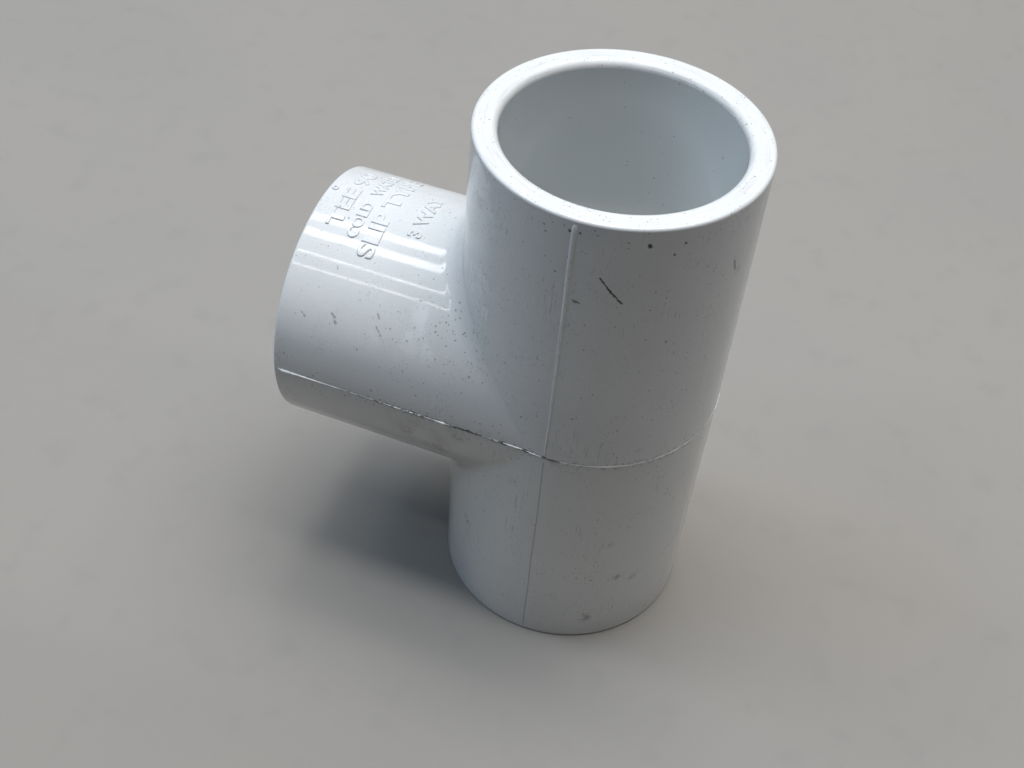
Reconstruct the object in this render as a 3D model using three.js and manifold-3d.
// Slip tee for 1 inch rigid PVC pipe, moulded in one shot, with three solvent-weld sockets.
//
// Millimetres, +Z up. The run stands upright on its lower rim at z = 0 and the branch points along -X.
// The origin is under the middle of the tee's bounding box, so the run's own axis lies a little towards +X.
//
// The moulding is divided at three flat planes, HUB_START from the crossing of the two axes: a centre body
// holds the crossing, the waterway and the pipe stops, and each arm ends in a socket hub of its own.
// Every arm is drawn in the same way, as a profile of radius against the distance from the crossing.

import * as THREE from "three";
import { ParametricGeometry } from "three/addons/geometries/ParametricGeometry.js";
import { mergeVertices, toCreasedNormals } from "three/addons/utils/BufferGeometryUtils.js";
import Module from "manifold-3d";

// Outside of the run: widest at mid height, where the mould opens, and drafted towards both rims.
const RUN_REACH = 44.2;
const RUN_RADIUS_AT_CROSSING = 20.65;
const RUN_RADIUS_AT_RIM = 20.4;

// Outside of the branch, measured from the run's axis and drafted towards its own rim.
const BRANCH_REACH = 44.25;
const BRANCH_RADIUS_AT_CROSSING = 20.4;
const BRANCH_RADIUS_AT_RIM = 20.17;

// Socket for a 33.4 mm pipe: a slight taper, so the pipe goes tight before it reaches the stop.
const SOCKET_DEPTH = 26.7;
const SOCKET_RADIUS_AT_MOUTH = 16.83;
const SOCKET_RADIUS_AT_STOP = 16.64;
const WATERWAY_RADIUS = 14;

// Edges.
const MOUTH_ROUND = 1;
const RIM_ROUND = 0.35;
const SADDLE_FILLET = 3.6;

// Where the centre body ends and the socket hubs begin, clear of the fillet round the branch.
const HUB_START = 25.6;

// Fineness of the facets.
const SEGMENTS = 72;
const ARC_STEPS = 3;
const FILLET_STEPS = 6;
const WELD_TOLERANCE = 1e-4;

// Small allowances that let one shape cross another cleanly. The fillet's two edges are sunk a little
// deeper than the facets stand off the true round surfaces.
const CUTTER_OVERRUN = 1;
const FILLET_SINK = 0.06;
const FILLET_ROOT_DEPTH = 1;
const CREASE_ANGLE = THREE.MathUtils.degToRad(30);
const QUARTER_TURN = Math.PI / 2;

const manifold = await Module();
manifold.setup();

const lerp = THREE.MathUtils.lerp;

// The two kinds of arm. Both run arms are alike, and the branch differs only in length and girth.
const RUN = { reach: RUN_REACH, atCrossing: RUN_RADIUS_AT_CROSSING, atRim: RUN_RADIUS_AT_RIM };
const BRANCH = { reach: BRANCH_REACH, atCrossing: BRANCH_RADIUS_AT_CROSSING, atRim: BRANCH_RADIUS_AT_RIM };

// Outer radius of an arm at a distance from the crossing.
function outerRadius(arm, distance) {
  return lerp(arm.atCrossing, arm.atRim, distance / arm.reach);
}

// Bore radius of an arm's socket at a distance from the crossing.
function socketRadius(arm, distance) {
  const depth = arm.reach - distance;
  return lerp(SOCKET_RADIUS_AT_MOUTH, SOCKET_RADIUS_AT_STOP, depth / SOCKET_DEPTH);
}

// A profile turned about +Y, as LatheGeometry does it.
function turned(profile) {
  return new THREE.LatheGeometry(profile.getPoints(ARC_STEPS), SEGMENTS);
}

// The three directions that a turned shape can be laid along.
const towardsTop = (geometry) => geometry.rotateX(QUARTER_TURN);
const towardsBottom = (geometry) => geometry.rotateX(-QUARTER_TURN);
const towardsBranch = (geometry) => geometry.rotateZ(QUARTER_TURN);

// Closed geometry as a solid that can be joined and cut.
function solid(geometry) {
  geometry.deleteAttribute("normal");
  geometry.deleteAttribute("uv");
  const welded = mergeVertices(geometry, WELD_TOLERANCE);
  const corners = welded.index.array;
  const kept = [];
  for (let i = 0; i < corners.length; i += 3) {
    const [a, b, c] = corners.subarray(i, i + 3);
    if (a !== b && b !== c && c !== a) {
      kept.push(a, b, c);
    }
  }
  const mesh = new manifold.Mesh({
    numProp: 3,
    vertProperties: welded.attributes.position.array,
    triVerts: Uint32Array.from(kept),
  });
  return new manifold.Manifold(mesh);
}

// A finished solid as geometry, with its sharp edges kept sharp.
function geometryOf(body) {
  const mesh = body.getMesh();
  const geometry = new THREE.BufferGeometry();
  geometry.setAttribute("position", new THREE.BufferAttribute(mesh.vertProperties, 3));
  geometry.setIndex(new THREE.BufferAttribute(mesh.triVerts, 1));
  return toCreasedNormals(geometry, CREASE_ANGLE);
}

// Socket hub: drafted outside, rounded rim edge, flat rim, rounded mouth and tapered bore.
function socketHub(arm) {
  const rimCorner = arm.atRim - RIM_ROUND;
  const mouthCorner = SOCKET_RADIUS_AT_MOUTH + MOUTH_ROUND;
  const profile = new THREE.Path();
  profile.moveTo(outerRadius(arm, HUB_START), HUB_START);
  profile.lineTo(arm.atRim, arm.reach - RIM_ROUND);
  profile.absarc(rimCorner, arm.reach - RIM_ROUND, RIM_ROUND, 0, QUARTER_TURN, false);
  profile.lineTo(mouthCorner, arm.reach);
  profile.absarc(mouthCorner, arm.reach - MOUTH_ROUND, MOUTH_ROUND, QUARTER_TURN, Math.PI, false);
  profile.lineTo(socketRadius(arm, HUB_START), HUB_START);
  profile.closePath();
  return turned(profile);
}

// Outside of the run's middle stretch, as a solid plug that is widest at mid height.
function runPlug() {
  const endRadius = outerRadius(RUN, HUB_START);
  const profile = new THREE.Path();
  profile.moveTo(0, -HUB_START);
  profile.lineTo(endRadius, -HUB_START);
  profile.lineTo(RUN_RADIUS_AT_CROSSING, 0);
  profile.lineTo(endRadius, HUB_START);
  profile.lineTo(0, HUB_START);
  return solid(towardsTop(turned(profile)));
}

// Outside of the branch's inner stretch, as a solid plug that starts on the run's axis.
function branchPlug() {
  const profile = new THREE.Path();
  profile.moveTo(0, 0);
  profile.lineTo(BRANCH_RADIUS_AT_CROSSING, 0);
  profile.lineTo(outerRadius(BRANCH, HUB_START), HUB_START);
  profile.lineTo(0, HUB_START);
  return solid(towardsBranch(turned(profile)));
}

// What is cut out of one arm: the waterway as far as the pipe stop, then the tapered socket.
function passage(arm) {
  const stop = arm.reach - SOCKET_DEPTH;
  const end = HUB_START + CUTTER_OVERRUN;
  const profile = new THREE.Path();
  profile.moveTo(0, -CUTTER_OVERRUN);
  profile.lineTo(WATERWAY_RADIUS, -CUTTER_OVERRUN);
  profile.lineTo(WATERWAY_RADIUS, stop);
  profile.lineTo(SOCKET_RADIUS_AT_STOP, stop);
  profile.lineTo(socketRadius(arm, end), end);
  profile.lineTo(0, end);
  return turned(profile);
}

// Centre of a ball of the fillet's radius that rests on both the run and the branch.
// The angle goes round the branch, from its -Y side over the top.
function filletBallCentre(angle) {
  const standOff = SADDLE_FILLET - FILLET_SINK;
  const centre = new THREE.Vector3(-RUN_RADIUS_AT_CROSSING, 0, 0);
  for (let pass = 0; pass < 4; pass += 1) {
    const fromBranchAxis = outerRadius(BRANCH, -centre.x) + standOff;
    centre.y = -fromBranchAxis * Math.cos(angle);
    centre.z = fromBranchAxis * Math.sin(angle);
    const fromRunAxis = outerRadius(RUN, Math.abs(centre.z)) + standOff;
    centre.x = -Math.sqrt(fromRunAxis ** 2 - centre.y ** 2);
  }
  return centre;
}

// One section of the fillet: a hollow arc from the run to the branch, then a root buried in both.
function filletSection(angle) {
  const ball = filletBallCentre(angle);
  const toRun = new THREE.Vector3(-ball.x, -ball.y, 0).normalize();
  const toBranch = new THREE.Vector3(0, -ball.y, -ball.z).normalize();
  const opening = toRun.angleTo(toBranch);
  const section = [];
  for (let step = 0; step <= FILLET_STEPS; step += 1) {
    const share = step / FILLET_STEPS;
    const direction = new THREE.Vector3();
    direction.addScaledVector(toRun, Math.sin((1 - share) * opening));
    direction.addScaledVector(toBranch, Math.sin(share * opening));
    section.push(direction.normalize().multiplyScalar(SADDLE_FILLET).add(ball));
  }
  const rootReach = (SADDLE_FILLET + FILLET_ROOT_DEPTH) / (1 + Math.cos(opening));
  const root = ball.clone();
  root.addScaledVector(toRun, rootReach);
  root.addScaledVector(toBranch, rootReach);
  section.push(root);
  return section;
}

// The fillet all round the branch, as one closed ring.
function saddleFillet() {
  const sections = [];
  for (let i = 0; i < SEGMENTS; i += 1) {
    sections.push(filletSection((i / SEGMENTS) * 2 * Math.PI));
  }
  const pointsInSection = FILLET_STEPS + 2;
  const surface = (around, along, target) => {
    const section = sections[Math.round(around * SEGMENTS) % SEGMENTS];
    target.copy(section[Math.round(along * pointsInSection) % pointsInSection]);
  };
  return solid(new ParametricGeometry(surface, SEGMENTS, pointsInSection));
}

// Centre body: both plugs and the fillet, less the three passages.
function centreBody() {
  const outside = runPlug().add(branchPlug()).add(saddleFillet());
  return outside
    .subtract(solid(towardsTop(passage(RUN))))
    .subtract(solid(towardsBottom(passage(RUN))))
    .subtract(solid(towardsBranch(passage(BRANCH))));
}

// Glossy white rigid PVC, with a faint blue-grey cast.
function whitePvc() {
  return new THREE.MeshStandardMaterial({ color: 0xe6eaec, roughness: 0.3, metalness: 0 });
}

function named(name, geometry) {
  const mesh = new THREE.Mesh(geometry, whitePvc());
  mesh.name = name;
  return mesh;
}

// The crossing of the axes is the tee's inner origin: half way up the run, on the run's axis.
const tee = new THREE.Group();
tee.position.set((BRANCH_REACH - RUN_RADIUS_AT_CROSSING) / 2, 0, RUN_REACH);
tee.add(named("centre_body", geometryOf(centreBody())));
tee.add(named("upper_run_socket", towardsTop(socketHub(RUN))));
tee.add(named("lower_run_socket", towardsBottom(socketHub(RUN))));
tee.add(named("branch_socket", towardsBranch(socketHub(BRANCH))));

const part = new THREE.Group();
part.add(tee);

export default part;
